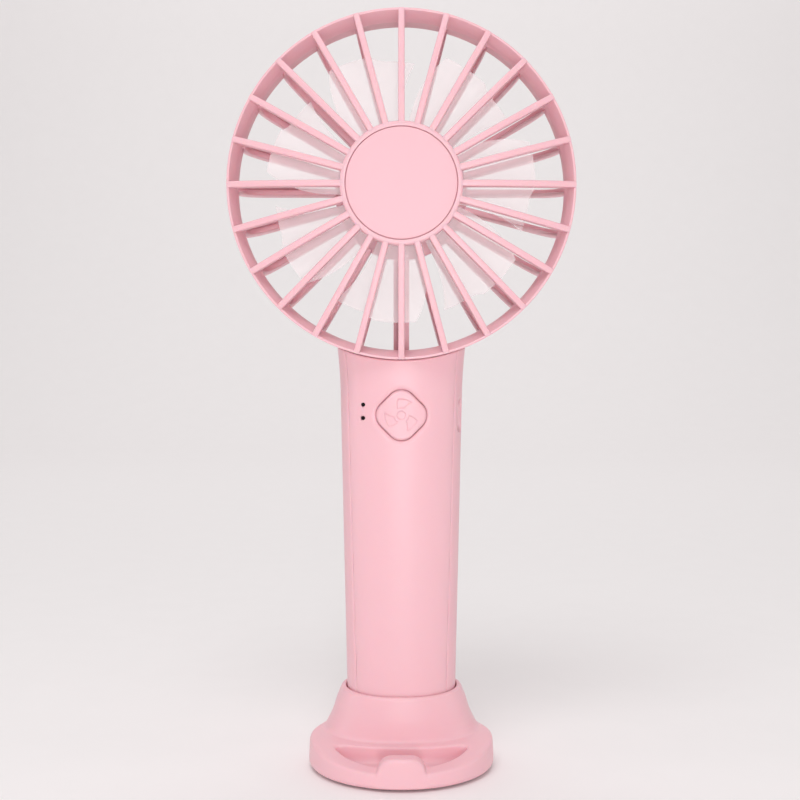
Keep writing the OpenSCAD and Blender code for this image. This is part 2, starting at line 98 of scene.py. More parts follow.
HANDLE_Y = (CAP_HIGH[1] + CAP_LOW[1]) / 2
FLARE_Z, FLARE = 109.8, 0.0035
SHOULDER_SLANT, SHOULDER_RISE, SHOULDER_ROUND = math.radians(50), 1.7, 3.5
HALF_SEAM = 0.07
HEAD_GAP = 0.12
CAP_HEIGHT = 2.55
NECK_WALL, NECK_HALF_WIDTH = 1.55, 22
TUBE_GAP, TUBE_WALL, TUBE_DROP = 0.15, 1.45, 3.4
SCREW_HEAD_R, SCREW_HOLE_R, SCREW_SINK_R = 2.0, 0.98, 2.25
FRONT_BOSS_R, REAR_BOSS_R, BOSS_CLEARANCE = 2.4, 3.2, 0.3
TOP_SCREW_X, TOP_SCREW_Z = SCREWS_HIGH[0] - SCREW_HEAD_R, SCREWS_HIGH[2] - SCREW_HEAD_R
FOOT_SCREW_Z = SCREWS_LOW[2] + SCREW_HEAD_R
SCREW_SEATS = (  # across, height, and how far forward the head sits
    (0.0, FOOT_SCREW_Z, SCREWS_HIGH[1] - 2.45),
    (-TOP_SCREW_X, TOP_SCREW_Z, SCREWS_HIGH[1] - 1.45),
    (TOP_SCREW_X, TOP_SCREW_Z, SCREWS_HIGH[1] - 1.45),
)
WINDOW_R, WINDOW_INSET = 0.6, 0.4
PORT_R, PORT_HALF_STRAIGHT = 2.1, 2.85

BUTTON_Z = (SWITCH_HIGH[2] + SWITCH_LOW[2]) / 2
BUTTON_CORNER, BUTTON_PROUD = 4.3, 0.22
OPENING_GAP, LEDGE_GROWTH, LEDGE_DROP, FLANGE_GROWTH = 0.64, 0.5, 0.5, 2
DISH_DEPTH, DISH_WIDTH = 0.5, 1.7
MARK_DEPTH, MARK_DOT_R = 0.34, 1.25
MARK_INNER_R, MARK_MIDDLE_R, MARK_OUTER_R = 2.15, 3.4, 4.75
MARK_BEARINGS, MARK_HALF_ANGLE, MARK_SWIRL = (86, 206, 326), 25, 7

COLLAR_HEIGHTS = (0, 7.5, 9, 10.4, 12.2, 14, 17.6, 19.6, 21.6)
COLLAR_HALF_WIDTHS = (24.6, 24.6, 23.5, 22.4, 21.4, 20.6, 19.5, 18.7, 17.8)
COLLAR_HALF_DEPTHS = (17.0, 17.0, 16.9, 16.8, 16.7, 16.6, 16.2, 16.0, 15.7)
COLLAR_DIP, COLLAR_REACH = 0.75, 16
EDGE_MARGIN = 0.03
RECESS_R, RECESS_Y, RECESS_FLOOR = 20.5, -2.2, 2.6
RECESS_BACK, RECESS_BOW = -9.9, 0.006
STOP_CORNER, STOP_INNER_R, STOP_BACK, STOP_FOOT = 4.4, 21.9, -15, 1.6
SOCKET_GAP, SOCKET_SINK = 0.33, 0.5
DOCK_WALL, DOCK_ROOF, CUP_SKIN, CUP_FLOOR = 1.8, 1.9, 1.9, 2.6
PLATE_TOP, HOLLOW_FRONT_AT_PLATE, HOLLOW_FRONT = 2.05, -8.8, -7.0

# The stage, in metres, watts and degrees
FAN_MIDDLE, BACKDROP_MIDDLE = (0, 0, 0.11), (0, 1.6, 0.3)
STUDIO_LIGHTS = (  # name, place, size, power, what it faces
    ("key", (-0.12, -0.5, 0.85), (0.5, 0.4), 2.5, FAN_MIDDLE),
    ("strip", (0.02, -0.55, 0.12), (0.05, 0.24), 0.85, FAN_MIDDLE),
    ("left", (-0.5, -0.05, 0.15), (0.1, 0.3), 0.16, FAN_MIDDLE),
    ("right", (0.5, -0.05, 0.15), (0.1, 0.3), 0.14, FAN_MIDDLE),
    ("wall", (0.0, 0.6, 1.5), (1.6, 0.6), 8.5, BACKDROP_MIDDLE),
)
WORLD_STRENGTH = 0.5
FLOOR_FRONT, FLOOR_BEND_Y, FLOOR_BEND_R, FLOOR_TOP, FLOOR_HALF_WIDTH = -2.5, 1.1, 0.6, 3.0, 3
CAMERA_LENS, CAMERA_DROP = 60.75, 2.33
CAMERA_X, CAMERA_Z, CAMERA_BEFORE_LIP = -0.0004, 0.1238, 387.0 * MM


# ---- settings ----

class FanHeadSettings(bpy.types.PropertyGroup):
    """Sizes of the head"""

    fin_count: IntProperty(name="Fins", description="Fins in each guard", default=24, min=18, max=28)
    fin_width: FloatProperty(
        name="Fin width", description="Width of one fin", default=1.8 * MM, unit="LENGTH")
    fin_round: FloatProperty(
        name="Fin rounding", description="Radius along a fin's edges", default=0.35 * MM, unit="LENGTH")
    hub_radius: FloatProperty(
        name="Hub radius", description="Radius of the front hub", default=17.5 * MM, unit="LENGTH")
    blade_count: IntProperty(name="Blades", description="Blades on the impeller", default=7, min=3, max=9)
    blade_tip: FloatProperty(
        name="Blade tip radius", description="Radius over the blades", default=39.3 * MM, unit="LENGTH")
    blade_turn: FloatProperty(
        name="Blade turn", description="Where the first blade stands", default=0.72, subtype="ANGLE")


class FanHandleSettings(bpy.types.PropertyGroup):
    """Sizes of the handle"""

    half_width: FloatProperty(
        name="Half width", description="Half width at table height", default=15.84 * MM, unit="LENGTH")
    taper: FloatProperty(
        name="Taper", description="Growth of the half width with the height", default=0.0214, precision=4)
    ratio: FloatProperty(name="Depth ratio", description="Depth divided by width", default=0.86)
    wall: FloatProperty(
        name="Wall", description="Thickness of the shells", default=1.8 * MM, unit="LENGTH")
    seam_forward: FloatProperty(
        name="Seam", description="How far the seam lies in front of the axis", default=9.0 * MM,
        unit="LENGTH")
    button_width: FloatProperty(
        name="Button", description="Button across its corners", default=14.1 * MM, unit="LENGTH")


class FanDockSettings(bpy.types.PropertyGroup):
    """Sizes of the dock"""

    radius: FloatProperty(
        name="Radius", description="Radius of the dock", default=DOCK_HIGH[0] * MM, unit="LENGTH")
    top: FloatProperty(
        name="Top", description="Height of the slope at the centre", default=9.4 * MM, unit="LENGTH")
    flat: FloatProperty(
        name="Flat", description="Height of the flat back of the top", default=9.0 * MM, unit="LENGTH")
    slope: FloatProperty(
        name="Slope", description="Slope of the top", default=math.radians(9.6), subtype="ANGLE")
    collar: FloatProperty(
        name="Collar", description="Height of the collar", default=DOCK_HIGH[2] * MM, unit="LENGTH")
    stop_width: FloatProperty(
        name="Stop", description="Width of the phone stop", default=13.5 * MM, unit="LENGTH")
    stop_top: FloatProperty(
        name="Stop height", description="Top of the phone stop", default=9.5 * MM, unit="LENGTH")


class FanFinishSettings(bpy.types.PropertyGroup):
    """Colours of the finishes"""

    pink: FloatVectorProperty(
        name="Pink", description="Colour of the moulded shells", subtype="COLOR", size=3,
        default=(0.90, 0.53, 0.585))
    clear: FloatVectorProperty(
        name="Clear", description="Colour of the frosted blades", subtype="COLOR", size=3,
        default=(0.97, 0.96, 0.97))
    room: FloatVectorProperty(
        name="Room", description="Colour of the floor and backdrop", subtype="COLOR", size=3,
        default=(0.95, 0.925, 0.925))


def settings_of(group):
    """The settings that a property group adds to those that every group has."""
    return [p for p in group.bl_rna.properties if p.identifier not in {"rna_type", "name"}]


def sizes(part):
    """The settings of the head, the handle or the dock, with their lengths in millimetres."""
    group = getattr(bpy.context.scene, "fan_" + part)
    values = {}
    for setting in settings_of(group):
        value = getattr(group, setting.identifier)
        values[setting.identifier] = value / MM if setting.unit == "LENGTH" else value
    return SimpleNamespace(**values)


# ---- fields: signed distances in millimetres, negative inside ----

def soft_union(a, b, k):
    """The lower of two fields, blended over k millimetres as a fillet."""
    h = np.clip(0.5 + 0.5 * (b - a) / k, 0, 1)
    return b * (1 - h) + a * h - k * h * (1 - h)


def soft_common(a, b, k):
    """The higher of two fields, blended over k millimetres as a rounded edge."""
    return -soft_union(-a, -b, k)


def oval_field(x, y, a, b, power=2.3):
    """How far a point lies outside an oval that is a little squarer than an ellipse."""
    reach = np.sqrt(x * x + y * y) + 1e-6
    f = ((np.abs(x) / a) ** power + (np.abs(y) / b) ** power) ** (1 / power) + 1e-6
    return reach * (1 - 1 / f)


def corner_field(u, v, corner):
    """How far a point lies outside a round corner, when u and v count from the corner's centre."""
    outside = np.sqrt(np.maximum(u, 0) ** 2 + np.maximum(v, 0) ** 2)
    return outside + np.minimum(np.maximum(u, v), 0) - corner


def diamond_field(x, z, across, corner=BUTTON_CORNER):
    """How far a point lies outside a round-cornered square that stands on its corner."""
    half = ((across - 2 * corner) / math.sqrt(2)) / 2
    return corner_field(np.abs(x + z) / math.sqrt(2) - half, np.abs(x - z) / math.sqrt(2) - half, corner)


def handle_half_width(z):
    """Half the handle's width at a height: a straight taper that flares under the head."""
    handle = sizes("handle")
    return handle.half_width + handle.taper * z + FLARE * np.maximum(0, z - FLARE_Z) ** 2


def handle_field(x, y, z, grow=0.0):
    """The handle's outside, grown by a skin."""
    a = handle_half_width(z)
    return oval_field(x, y - HANDLE_Y, a + grow, a * sizes("handle").ratio + grow)


def shoulder_field(y, z):
    """How far a point lies above the slant that joins the handle's back to the head's."""
    back, up = y - (LIP_Y + HEAD_DEPTH), z - (HEAD_Z - HEAD_R + SHOULDER_RISE)
    return back * math.sin(SHOULDER_SLANT) + up * math.cos(SHOULDER_SLANT)


def head_reach(x, z):
    """A point's distance from the head's axis."""
    return np.sqrt(x * x + (z - HEAD_Z) ** 2)


# ---- mesh makers ----

def new_object(name, data):
    """An object in the scene for a mesh, a light or a camera."""
    obj = bpy.data.objects.new(name, data)
    bpy.context.scene.collection.objects.link(obj)
    return obj


def smooth_by_angle(mesh, angle=35):
    """Shades a mesh smooth, with edges sharper than an angle kept crisp."""
    mesh.shade_smooth()
    mesh.set_sharp_from_angle(angle=math.radians(angle))


def cast(name, field, low, high, voxel):
    """Turns a field into a closed mesh whose corners lie on it and whose normals follow it."""
    low, high = np.array(low, float), np.array(high, float)
    counts = np.ceil((high - low) / voxel).astype(int) + 1
    axes = [low[i] + voxel * np.arange(counts[i]) for i in range(3)]
    grid = np.meshgrid(*axes, indexing="ij")
    values = field(*grid).astype(np.float32)
    volume = openvdb.FloatGrid(voxel * 3)
    volume.copyFromArray(np.clip(values, -3 * voxel, 3 * voxel))
    points, quads = volume.convertToQuads(isovalue=0.0)
    points = low + points.astype(float) * voxel

    def slope(p, step=0.02):
        shifts = np.eye(3) * step
        return np.stack([field(*(p + d).T) - field(*(p - d).T) for d in shifts], axis=1) / (2 * step)

    for _ in range(3):
        g = slope(points)
        length2 = np.maximum((g * g).sum(1), 0.05)
        move = (field(*points.T) / length2)[:, None] * g
        points -= np.clip(move, -voxel / 2, voxel / 2)
    g = slope(points)
    normals = g / np.maximum(np.linalg.norm(g, axis=1), 1e-6)[:, None]
    mesh = bpy.data.meshes.new(name)
    mesh.from_pydata((points * MM).tolist(), [], quads[:, ::-1].tolist())
    mesh.update()
    some = mesh.polygons[:400]
    facing = np.array([p.normal[:] for p in some])
    outward = normals[[p.vertices[0] for p in some]]
    if (facing * outward).sum() < 0:
        mesh.flip_normals()
    mesh.shade_smooth()
    mesh.normals_split_custom_set_from_vertices(normals.tolist())
    return new_object(name, mesh)


def turned(name, profile, steps=160):
    """A closed ring or disc, turned about the head's axis from a closed outline of [radius, depth]."""
    mesh = bpy.data.meshes.new(name)
    bm = bmesh.new()
    rings = []
    for k in range(steps):
        a = 2 * math.pi * k / steps
        rings.append([
            bm.verts.new(Vector((r * math.cos(a), LIP_Y + d, HEAD_Z + r * math.sin(a))) * MM)
            for r, d in profile])
    n = len(profile)
    for k in range(steps):
        here, there = rings[k], rings[(k + 1) % steps]
        for i in range(n):
            j = (i + 1) % n
            bm.faces.new([here[i], here[j], there[j], there[i]])
    bmesh.ops.remove_doubles(bm, verts=bm.verts, dist=1e-6)
    bmesh.ops.dissolve_degenerate(bm, edges=bm.edges, dist=1e-7)
    bmesh.ops.recalc_face_normals(bm, faces=bm.faces)
    bm.to_mesh(mesh)
    bm.free()
    smooth_by_angle(mesh)
    return new_object(name, mesh)


def rounded(points, steps=4):
    """An outline of [x, y, radius] with a curve of about that radius at each corner that has one."""
    nearly_straight = math.radians(176)
    out = []
    for i, (x, y, radius) in enumerate(points):
        here = Vector((x, y))
        before = Vector(points[i - 1][:2]) - here
        after = Vector(points[(i + 1) % len(points)][:2]) - here
        turn = before.angle(after, math.pi)
        if radius <= 0 or turn > nearly_straight:
            out.append(list(here))
            continue
        cut = min(radius / max(math.tan(turn / 2), 1e-3), before.length * 0.48, after.length * 0.48)
        start, end = here + before.normalized() * cut, here + after.normalized() * cut
        for k in range(steps + 1):
            t = k / steps
            q = start * (1 - t) ** 2 + here * 2 * t * (1 - t) + end * t ** 2
            out.append([q.x, q.y])
    return out


def plate(name, outline, width, edge):
    """A mesh of a plate with a given outline [x, y], centred on Z = 0, with its edges rounded."""
    corners = np.array(outline, float)
    n = len(outline)
    following = np.roll(corners, -1, axis=0)
    sides = following - corners
    out = np.stack([sides[:, 1], -sides[:, 0]], axis=1)
    out /= np.maximum(np.hypot(*out.T), 1e-9)[:, None]
    out = out + np.roll(out, 1, axis=0)
    out /= np.maximum((out * out).sum(1), 0.6)[:, None] / 2
    area = (corners[:, 0] * following[:, 1] - following[:, 0] * corners[:, 1]).sum()
    out *= math.copysign(1, area)
    bm = bmesh.new()
    levels = []
    for side in (-1, 1):
        for degrees in (0, 30, 60, 90)[::-side]:
            t = math.radians(degrees)
            inset, z = edge * (1 - math.sin(t)), side * (width / 2 - edge * (1 - math.cos(t)))
            levels.append([bm.verts.new(Vector((*p, z)) * MM) for p in (corners - out * inset)])
    caps = [bm.faces.new(levels[0]), bm.faces.new(levels[-1][::-1])]
    for low, high in zip(levels, levels[1:]):
        for i in range(n):
            bm.faces.new([low[i], high[i], high[(i + 1) % n], low[(i + 1) % n]])
    caps = bmesh.ops.triangulate(bm, faces=caps)["faces"]
    bmesh.ops.recalc_face_normals(bm, faces=bm.faces)
    bm.faces.index_update()
    flat = {f.index for f in caps}
    mesh = bpy.data.meshes.new(name)
    bm.to_mesh(mesh)
    bm.free()
    smooth_by_angle(mesh, 40)
    for face in mesh.polygons:
        if face.index in flat:
            face.use_smooth = False
    return mesh


def joined(name, objects):
    """Joins objects into the first one, under a new name."""
    bpy.ops.object.select_all(action="DESELECT")
    for o in objects:
        o.select_set(True)
    bpy.context.view_layer.objects.active = objects[0]
    bpy.ops.object.join()
    objects[0].name = objects[0].data.name = name
    return objects[0]


def add_sockets(tree, in_out, kinds):
    """Adds sockets to a node group, from their names and kinds."""
    for name, kind in kinds.items():
        tree.interface.new_socket(name, in_out=in_out, socket_type="NodeSocket" + kind)


def repeat_tree():
    """Geometry nodes that set copies of a part evenly about the head's axis and add them to a base."""
    name = "Repeat About Head Axis"
    if name in bpy.data.node_groups:
        return bpy.data.node_groups[name]
    tree = bpy.data.node_groups.new(name, "GeometryNodeTree")
    add_sockets(tree, "INPUT", {
        "Base": "Geometry", "Part": "Object", "Count": "Int", "First Turn": "Float", "Centre": "Vector",
        "Material": "Material"})
    add_sockets(tree, "OUTPUT", {"Result": "Geometry"})
    add, link = tree.nodes.new, tree.links.new
    start, end = add("NodeGroupInput"), add("NodeGroupOutput")
    points = add("GeometryNodePoints")
    link(start.outputs["Count"], points.inputs["Count"])
    link(start.outputs["Centre"], points.inputs["Position"])
    step = add("ShaderNodeMath")
    step.operation = "DIVIDE"
    step.inputs[0].default_value = -2 * math.pi
    link(start.outputs["Count"], step.inputs[1])
    turn = add("ShaderNodeMath")
    turn.operation = "MULTIPLY_ADD"
    index = add("GeometryNodeInputIndex")
    link(index.outputs[0], turn.inputs[0])
    link(step.outputs[0], turn.inputs[1])
    link(start.outputs["First Turn"], turn.inputs[2])
    spin = add("ShaderNodeCombineXYZ")
    link(turn.outputs[0], spin.inputs["Y"])
    part = add("GeometryNodeObjectInfo")
    part.transform_space = "ORIGINAL"
    link(start.outputs["Part"], part.inputs["Object"])
    place = add("GeometryNodeInstanceOnPoints")
    link(points.outputs[0], place.inputs["Points"])
    link(part.outputs["Geometry"], place.inputs["Instance"])
    link(spin.outputs[0], place.inputs["Rotation"])
    real = add("GeometryNodeRealizeInstances")
    link(place.outputs[0], real.inputs[0])
    both = add("GeometryNodeJoinGeometry")
    link(real.outputs[0], both.inputs[0])
    link(start.outputs["Base"], both.inputs[0])
    paint = add("GeometryNodeSetMaterial")
    link(both.outputs[0], paint.inputs["Geometry"])
    link(start.outputs["Material"], paint.inputs["Material"])
    link(paint.outputs[0], end.inputs[0])
    return tree


def repeated(name, base, part_mesh, count, first_turn, material):
    """Adds copies of a part about the head's axis to a base and keeps the result as a plain mesh."""
    part = new_object(name + "_part", part_mesh)
    tree = repeat_tree()
    maker = base.modifiers.new("Repeat", "NODES")
    maker.node_group = tree
    values = {
        "Part": part, "Count": count, "First Turn": first_turn,
        "Centre": (0.0, LIP_Y * MM, HEAD_Z * MM), "Material": material,
    }
    for item in tree.interface.items_tree:
        if item.item_type == "SOCKET" and item.in_out == "INPUT" and item.name in values:
            maker[item.identifier] = values[item.name]
    view = bpy.context.evaluated_depsgraph_get()
    mesh = bpy.data.meshes.new_from_object(base.evaluated_get(view), depsgraph=view)
    base.modifiers.clear()
    base.data = mesh
    base.name = mesh.name = name
    bpy.data.objects.remove(part)
    return base


# ---- finishes ----

def moulded_surface():
    """A shader group: fine mould texture, faint cloudiness of the colour and uneven gloss."""
    name = "Moulded Surface"
    if name in bpy.data.node_groups:
        return bpy.data.node_groups[name]
    tree = bpy.data.node_groups.new(name, "ShaderNodeTree")
    add_sockets(tree, "INPUT", {
        "Vector": "Vector", "Colour": "Color", "Shade": "Color", "Cloud Size": "Float",
        "Grain Size": "Float", "Gloss Low": "Float", "Gloss High": "Float"})
    add_sockets(tree, "OUTPUT", {"Colour": "Color", "Roughness": "Float", "Height": "Float"})
    add, link = tree.nodes.new, tree.links.new
    start, end = add("NodeGroupInput"), add("NodeGroupOutput")
    cloud, grain = add("ShaderNodeTexNoise"), add("ShaderNodeTexNoise")
    for noise, size, detail in ((cloud, "Cloud Size", 3.0), (grain, "Grain Size", 2.0)):
        link(start.outputs["Vector"], noise.inputs["Vector"])
        link(start.outputs[size], noise.inputs["Scale"])
        noise.inputs["Detail"].default_value = detail
    tint = add("ShaderNodeMix")
    tint.data_type = "RGBA"
    link(cloud.outputs[0], tint.inputs["Factor"])
    link(start.outputs["Colour"], tint.inputs[6])
    link(start.outputs["Shade"], tint.inputs[7])
    gloss = add("ShaderNodeMapRange")
    link(grain.outputs[0], gloss.inputs["Value"])
    link(start.outputs["Gloss Low"], gloss.inputs["To Min"])
    link(start.outputs["Gloss High"], gloss.inputs["To Max"])
    link(tint.outputs[2], end.inputs["Colour"])
    link(gloss.outputs[0], end.inputs["Roughness"])
    link(grain.outputs[0], end.inputs["Height"])
    return tree


def finish(name, colour, shade=0.94, rough=(0.35, 0.45), cloud=60.0, grain=2500.0, stretch=(1, 1, 1),
           bump=0.05, **sockets):
    """A material on the moulded surface group. Other sockets of the shader are set by name."""
    if name in bpy.data.materials:
        return bpy.data.materials[name]
    mat = bpy.data.materials.new(name)
    mat.use_nodes = True
    tree = mat.node_tree
    add, link = tree.nodes.new, tree.links.new
    shader = tree.nodes["Principled BSDF"]
    where, scale = add("ShaderNodeTexCoord"), add("ShaderNodeMapping")
    group, relief = add("ShaderNodeGroup"), add("ShaderNodeBump")
    group.node_tree = moulded_surface()
    scale.inputs["Scale"].default_value = stretch
    link(where.outputs["Object"], scale.inputs["Vector"])
    link(scale.outputs[0], group.inputs["Vector"])
    group.inputs["Colour"].default_value = (*colour, 1)
    group.inputs["Shade"].default_value = (*[c * shade for c in colour], 1)
    group.inputs["Cloud Size"].default_value = cloud
    group.inputs["Grain Size"].default_value = grain
    group.inputs["Gloss Low"].default_value, group.inputs["Gloss High"].default_value = rough
    link(group.outputs["Colour"], shader.inputs["Base Color"])
    link(group.outputs["Roughness"], shader.inputs["Roughness"])
    link(group.outputs["Height"], relief.inputs["Height"])
    relief.inputs["Strength"].default_value = bump
    relief.inputs["Distance"].default_value = 0.1 * MM
    link(relief.outputs[0], shader.inputs["Normal"])
    for socket, value in sockets.items():
        shader.inputs[socket.replace("_", " ")].default_value = value
    return mat


def pink_plastic():
    """The satin pink of the outer mouldings, faintly translucent."""
    pink = bpy.context.scene.fan_finish.pink
    return finish("pink_moulding", tuple(pink), shade=0.975, rough=(0.36, 0.42), Subsurface_Weight=0.12,
                  Subsurface_Scale=0.002, Specular_IOR_Level=0.45)


def hub_disc_plastic():
    """The flatter pink of the disc on the front hub."""
    pink = bpy.context.scene.fan_finish.pink
    return finish("hub_disc_plastic", tuple(pink), shade=0.985, rough=(0.42, 0.5), Specular_IOR_Level=0.4)


def inner_plastic():
    """The duller pink of mouldings inside the case."""
    pink = bpy.context.scene.fan_finish.pink
    return finish("inner_pink_plastic", tuple(c * 0.9 for c in pink), rough=(0.5, 0.6))


def frosted_plastic_painted_glow():
    """The see-through frost of the blades, with a faint painted glow that makes them look lit."""
    # The white emission is painted glow: it lightens the blades as light would, though they are no lamp.
    return finish("frosted_blade_painted_glow", tuple(bpy.context.scene.fan_finish.clear), shade=0.97,
                  rough=(0.45, 0.5), bump=0.0, Alpha=0.27, IOR=1.49, Emission_Color=(1, 0.98, 0.98, 1),
                  Emission_Strength=0.22, Specular_IOR_Level=0.15)


def slot_finishes():
    """Each material slot of the record and the finish that its nodes get."""
    metal = dict(Metallic=1.0)
    return {
        "pink_plastic": pink_plastic(),
        "hub_disc": hub_disc_plastic(),
        "pink_inner_plastic": inner_plastic(),
        "rubber": finish("foot_rubber", (0.045, 0.045, 0.048), rough=(0.7, 0.85), grain=1200, bump=0.2),
        "ballast_steel": finish("ballast_zinc", (0.42, 0.42, 0.44), rough=(0.38, 0.55), cloud=300, **metal),
        "screw_steel": finish("screw_zinc", (0.55, 0.55, 0.57), rough=(0.25, 0.38), cloud=400, **metal),
        "black_plastic": finish("black_moulding", (0.018, 0.018, 0.02), rough=(0.45, 0.6)),
        "stator_steel": finish("stator_laminations", (0.3, 0.3, 0.32), shade=0.6, rough=(0.35, 0.5),
                               cloud=900, stretch=(0.1, 3, 0.1), **metal),
        "copper": finish("enamelled_copper", (0.72, 0.26, 0.09), shade=0.7, rough=(0.22, 0.34),
                         cloud=1800, stretch=(3, 0.3, 3), bump=0.4, **metal),
        "circuit_board": finish("solder_mask", (0.015, 0.16, 0.06), shade=0.7, rough=(0.2, 0.32), cloud=500),
        "bearing_steel": finish("ground_steel", (0.62, 0.62, 0.64), shade=0.85, rough=(0.16, 0.28),
                                cloud=900, stretch=(1, 0.05, 1), **metal),
        "magnet": finish("sintered_ferrite", (0.04, 0.04, 0.042), shade=0.8, rough=(0.5, 0.7), bump=0.25),
        "cell_wrap": finish("cell_shrink_wrap", (0.04, 0.2, 0.42), shade=0.9, rough=(0.18, 0.26)),
        "nickel": finish("nickel_plate", (0.7, 0.67, 0.62), shade=0.9, rough=(0.18, 0.3), cloud=500, **metal),
        "foam": finish("closed_cell_foam", (0.05, 0.05, 0.052), rough=(0.85, 0.95), grain=1800, bump=0.7),
        "white_plastic": finish("white_moulding", (0.82, 0.81, 0.78), rough=(0.4, 0.5)),
        # The clear light pipes are coloured nearly black: painted shade of the unlit inside seen through the
        # indicator windows.
        "clear_plastic": finish("light_pipe_painted_shade", (0.012, 0.006, 0.008), rough=(0.5, 0.6),
                                Specular_IOR_Level=0.1),
        "inductor": finish("inductor_ferrite", (0.06, 0.06, 0.06), rough=(0.5, 0.7), bump=0.3),
        "lead_insulation": finish("lead_silicone", (0.45, 0.03, 0.03), rough=(0.45, 0.55)),
        "frosted_blades": frosted_plastic_painted_glow(),
    }


def settle(obj, body, node, material=None):
    """Gives a finished piece its finish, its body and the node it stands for."""
    if material is not None:
        obj.data.materials.clear()
        obj.data.materials.append(material)
    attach(obj, body)
    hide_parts(node)


# ---- the dock ----

def dock_top(y, z):
    """The top of the dock's disc: a slope down to the front, levelled off at the back."""
    dock = sizes("dock")
    slope = (z - dock.top - y * math.tan(dock.slope)) * math.cos(dock.slope)
    return soft_common(slope, z - dock.flat, 1.5)


def dock_disc(x, y, z):
    """The dock's disc, whose side draws in slightly above its foot."""
    draft = 0.05 * np.maximum(0, z - 2.6)
    side = np.sqrt(x * x + y * y) - (sizes("dock").radius + 0.02 - draft)
    return soft_common(soft_common(side, dock_top(y, z), 1.0), DOCK_LOW[2] - z, 2.0)


def dock_collar(x, y, z):
    """The flared collar around the handle, whose lip dips at the front and the back."""
    dock = sizes("dock")
    half_width = np.interp(z, COLLAR_HEIGHTS, COLLAR_HALF_WIDTHS)
    half_depth = np.interp(z, COLLAR_HEIGHTS, COLLAR_HALF_DEPTHS)
    back = y - HANDLE_Y
    dip = COLLAR_DIP * (np.clip(back, -COLLAR_REACH, COLLAR_REACH) / COLLAR_REACH) ** 2
    collar = soft_common(oval_field(x, back, half_width, half_depth), z - (dock.collar + 0.1 - dip), 0.9)
    return soft_common(collar, np.sqrt(x * x + y * y) - (dock.radius - 0.8), 2.0)


def dock_recess(x, y, z):
    """The crescent recess for a phone, with a round front edge and a bowed back edge."""
    crescent = soft_common(np.hypot(x, y - RECESS_Y) - RECESS_R, y - RECESS_BACK - RECESS_BOW * x * x, 3.2)
    return soft_common(crescent, RECESS_FLOOR - z, 2.5)


def phone_stop(x, y, z):
    """The stop at the front of the dock: a tab with round upper corners."""
    dock = sizes("dock")
    reach = np.sqrt(x * x + y * y)
    across, up = np.abs(x) - (dock.stop_width / 2 - STOP_CORNER), z - (dock.stop_top - STOP_CORNER)
    band = soft_common(reach - (dock.radius - 0.02), STOP_INNER_R - reach, 0.8)
    stop = soft_common(corner_field(across, up, STOP_CORNER), band, 1.2)
    return np.maximum(stop, np.maximum(y - STOP_BACK, STOP_FOOT - z))


def dock_hollow(x, y, z):
    """The room inside the dock behind the recess, around the cup that holds the handle."""
    front = np.where(z < PLATE_TOP, HOLLOW_FRONT_AT_PLATE, HOLLOW_FRONT)
    side = np.sqrt(x * x + y * y) - (sizes("dock").radius - DOCK_WALL)
    room = np.maximum(np.maximum(side, dock_top(y, z) + DOCK_ROOF), front - y)
    cup = np.maximum(handle_field(x, y, z, CUP_SKIN), CUP_FLOOR - z)
    return np.maximum(room, -cup)


def dock_field(x, y, z):
    """The dock: sloped disc, flared collar, crescent recess, phone stop, socket and hollow underside."""
    edge = np.sqrt(x * x + y * y) - (sizes("dock").radius - EDGE_MARGIN)
    body = soft_union(dock_disc(x, y, z), dock_collar(x, y, z), 1.0)
    body = np.maximum(np.maximum(body, DOCK_LOW[2] - z), edge)
    body = soft_common(body, -dock_recess(x, y, z), 0.7)
    body = np.maximum(soft_union(body, phone_stop(x, y, z), 0.8), edge)
    socket = np.maximum(handle_field(x, y, z, SOCKET_GAP), CAP_LOW[2] - SOCKET_SINK - z)
    body = soft_common(body, -socket, 0.4)
    return np.maximum(body, -dock_hollow(x, y, z))


# ---- the handle and its button ----

def button_dish(x, y, z):
    """How far the shell sinks around the button, on the front only."""
    past_button = diamond_field(x, z - BUTTON_Z, sizes("handle").button_width) - 0.3
    dish = DISH_DEPTH * np.clip(1 - past_button / DISH_WIDTH, 0, 1) ** 2
    return np.where(y < HANDLE_Y, dish, 0)


def with_screw_bosses(shell, outer, x, y, z, front):
    """Adds the screw bosses to a half of the casing, with their holes and the sinks at the back."""
    for across, height, seat in SCREW_SEATS:
        away = np.hypot(x - across, z - height)
        if front:
            post = np.maximum(away - FRONT_BOSS_R, y - HANDLE_Y)
        else:
            post = np.maximum(away - REAR_BOSS_R, HANDLE_Y + 0.1 - y)
        boss = np.maximum(post, outer + 0.6)
        shell = np.maximum(np.minimum(shell, boss), np.minimum(SCREW_HOLE_R - away, y - 2))
        if not front:
            shell = soft_common(shell, np.minimum(SCREW_SINK_R - away, y - seat), 0.35)
    return shell


def half_cut(inner, y, front):
    """Where a half of the casing ends: at the seam, though the front half's bosses reach further."""
    seam = HANDLE_Y - sizes("handle").seam_forward
    if front:
        return np.minimum(y - (seam - HALF_SEAM), np.maximum(inner + 0.4, y - HANDLE_Y))
    return (seam + HALF_SEAM) - y


def front_openings(x, y, z):
    """The button's opening and the two indicator windows, each with the rounding of its edge."""
    opening = diamond_field(x, z - BUTTON_Z, sizes("handle").button_width + OPENING_GAP, BUTTON_CORNER + 0.3)
    yield np.maximum(opening, y - HANDLE_Y), 0.5
    middle = (LED_LOW[0] + LED_HIGH[0]) / 2
    for height in (LED_LOW[2] + WINDOW_INSET, LED_HIGH[2] - WINDOW_INSET):
        yield np.maximum(np.hypot(x - middle, z - height) - WINDOW_R, y - 2), 0.12


def side_openings(x, y, z):
    """The slot of the charging port, with the rounding of its edge."""
    port_y, port_z = (PORT_LOW[1] + PORT_HIGH[1]) / 2, (PORT_LOW[2] + PORT_HIGH[2]) / 2
    along = np.maximum(np.abs(z - port_z) - PORT_HALF_STRAIGHT, 0)
    yield np.maximum(np.hypot(y - port_y, along) - PORT_R, 12 - x), 0.3


